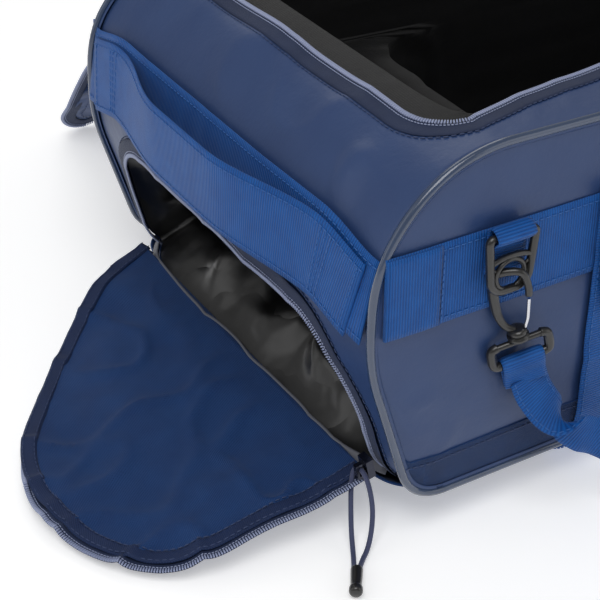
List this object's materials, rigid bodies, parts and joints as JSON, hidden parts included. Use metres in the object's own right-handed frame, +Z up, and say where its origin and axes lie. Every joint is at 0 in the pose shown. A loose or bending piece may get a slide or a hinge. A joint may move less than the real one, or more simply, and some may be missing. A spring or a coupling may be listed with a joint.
{
  "type": "duffel bag",
  "caption": "Soft duffel bag with an open zipped lid, an end shoe pocket with its flap down, webbing grab and carry handles and a clipped shoulder strap.",
  "frame": {"origin": "centre of the flat base, on the floor", "axes": "+X along the bag's length away from the shoe pocket end, +Y towards the lid's hinge side, +Z up"},
  "size_m": [0.7663, 0.7224, 0.2535],
  "materials": {
    "tarpaulin": "semi-matte coated tarpaulin",
    "webbing": "ribbed woven webbing",
    "polyester": "plain weave",
    "piping": "glossy rolled edge",
    "pocket_nylon": "creased coated nylon",
    "lining": "plain thin lining",
    "zip_tape": "woven tape with nylon coil",
    "zip_metal": "dark lacquered metal",
    "black_plastic": "moulded, satin",
    "gate_wire": "bright wire",
    "cord": "braided cord",
    "grip": "padded wrap",
    "board": "stiff sheet"
  },
  "bodies": {
    "shell": {"back_base_strip": "polyester", "back_panel": "tarpaulin", "band_back": "webbing", "band_front": "webbing", "band_left": "webbing", "band_right": "webbing", "base_board": "board", "base_panel": "polyester", "end_handle_left": "webbing", "end_handle_right": "webbing", "end_panel_left": "tarpaulin", "end_panel_right": "tarpaulin", "front_base_strip": "polyester", "front_panel": "tarpaulin", "handle_strip_back_left": "webbing", "handle_strip_back_right": "webbing", "handle_strip_front_left": "webbing", "handle_strip_front_right": "webbing", "lining_back": "lining", "lining_end": "lining", "lining_front": "lining", "main_zip_body": "zip_tape", "piping_back": "piping", "piping_front": "piping", "ring_loop_left": "webbing", "ring_loop_right": "webbing", "shoe_pocket_liner": "pocket_nylon", "shoe_zip_body": "zip_tape", "shoulder_strap": "webbing", "top_front_border": "tarpaulin"},
    "lid": {"lid_panel": "tarpaulin", "lid_lining": "lining", "main_zip_lid": "zip_tape"},
    "shoe_flap": {"shoe_flap": "polyester", "shoe_flap_margin": "polyester", "shoe_zip_flap": "zip_tape"},
    "shoe_slider": {"shoe_slider": "zip_metal"},
    "shoe_pull": {"pull_cord": "cord", "cord_end": "black_plastic"},
    "main_slider_left": {"main_slider_left": "zip_metal"},
    "main_slider_right": {"main_slider_right": "zip_metal"},
    "main_pull_left": {"main_pull_left": "zip_metal"},
    "main_pull_right": {"main_pull_right": "zip_metal"},
    "clip_left": {"strap_ring_left": "black_plastic", "strap_hook_left": "black_plastic", "strap_bar_left": "black_plastic", "strap_end_left": "webbing"},
    "clip_right": {"strap_ring_right": "black_plastic", "strap_hook_right": "black_plastic", "strap_bar_right": "black_plastic", "strap_end_right": "webbing"},
    "gate_left": {"hook_gate_left": "gate_wire"},
    "gate_right": {"hook_gate_right": "gate_wire"},
    "carry_handle_front": {"carry_handle_front": "webbing", "handle_grip_front": "grip"},
    "carry_handle_back": {"carry_handle_back": "webbing", "handle_grip_back": "grip"},
    "strap_adjuster": {"strap_adjuster": "black_plastic"}
  },
  "joints": [
    {"name": "lid_hinge", "type": "hinge", "parent": "shell", "child": "lid", "pos_m": [0, 0.1805, 0.242], "axis": [1, 0, 0], "range_deg": [0, 228]},
    {"name": "shoe_flap_hinge", "type": "hinge", "parent": "shell", "child": "shoe_flap", "pos_m": [-0.2877, 0, 0.033], "axis": [0, 1, 0], "range_deg": [0, 89.4], "deforming": ["shoe_flap_margin", "shoe_zip_flap"]},
    {"name": "shoe_slider_travel", "type": "slide", "parent": "shell", "child": "shoe_slider", "axis": [-0.209, 0, 0.9779], "range_m": [0, 0.03]},
    {"name": "shoe_pull_swing", "type": "hinge", "parent": "shoe_slider", "child": "shoe_pull", "pos_m": [-0.2963, -0.15, 0.041], "axis": [-0.8571, 0.5151, 0], "range_deg": [0, 16]},
    {"name": "main_slider_left_travel", "type": "slide", "parent": "shell", "child": "main_slider_left", "axis": [0, -1, 0], "range_m": [0, 0.22]},
    {"name": "main_slider_right_travel", "type": "slide", "parent": "shell", "child": "main_slider_right", "axis": [0, -1, 0], "range_m": [0, 0.22]},
    {"name": "main_pull_left_swing", "type": "hinge", "parent": "main_slider_left", "child": "main_pull_left", "pos_m": [-0.25, 0.1416, 0.2501], "axis": [-1, 0, 0], "range_deg": [0, 100]},
    {"name": "main_pull_right_swing", "type": "hinge", "parent": "main_slider_right", "child": "main_pull_right", "pos_m": [0.25, 0.1416, 0.2501], "axis": [-1, 0, 0], "range_deg": [0, 100]},
    {"name": "clip_left_swing", "type": "hinge", "parent": "shell", "child": "clip_left", "pos_m": [-0.228, -0.185, 0.194], "axis": [-1, 0, 0], "range_deg": [0, 35]},
    {"name": "clip_right_swing", "type": "hinge", "parent": "shell", "child": "clip_right", "pos_m": [0.228, -0.185, 0.194], "axis": [-1, 0, 0], "range_deg": [0, 35]},
    {"name": "gate_left_swing", "type": "hinge", "parent": "clip_left", "child": "gate_left", "pos_m": [-0.2165, -0.1876, 0.1335], "axis": [-0.5568, -0.8189, -0.1389], "range_deg": [0, 25], "stiffness_Nm_per_rad": 0.02},
    {"name": "gate_right_swing", "type": "hinge", "parent": "clip_right", "child": "gate_right", "pos_m": [0.2165, -0.1876, 0.1335], "axis": [-0.5568, 0.8189, 0.1389], "range_deg": [0, 25], "stiffness_Nm_per_rad": 0.02},
    {"name": "carry_handle_front_swing", "type": "hinge", "parent": "shell", "child": "carry_handle_front", "pos_m": [0, -0.1848, 0.2005], "axis": [-1, 0, 0], "range_deg": [0, 170]},
    {"name": "carry_handle_back_swing", "type": "hinge", "parent": "shell", "child": "carry_handle_back", "pos_m": [0, 0.1848, 0.2005], "axis": [1, 0, 0], "range_deg": [0, 35]},
    {"name": "strap_adjuster_travel", "type": "slide", "parent": "shell", "child": "strap_adjuster", "axis": [-0.865, -0.346, -0.3633], "range_m": [-0.01, 0.003]}
  ]
}
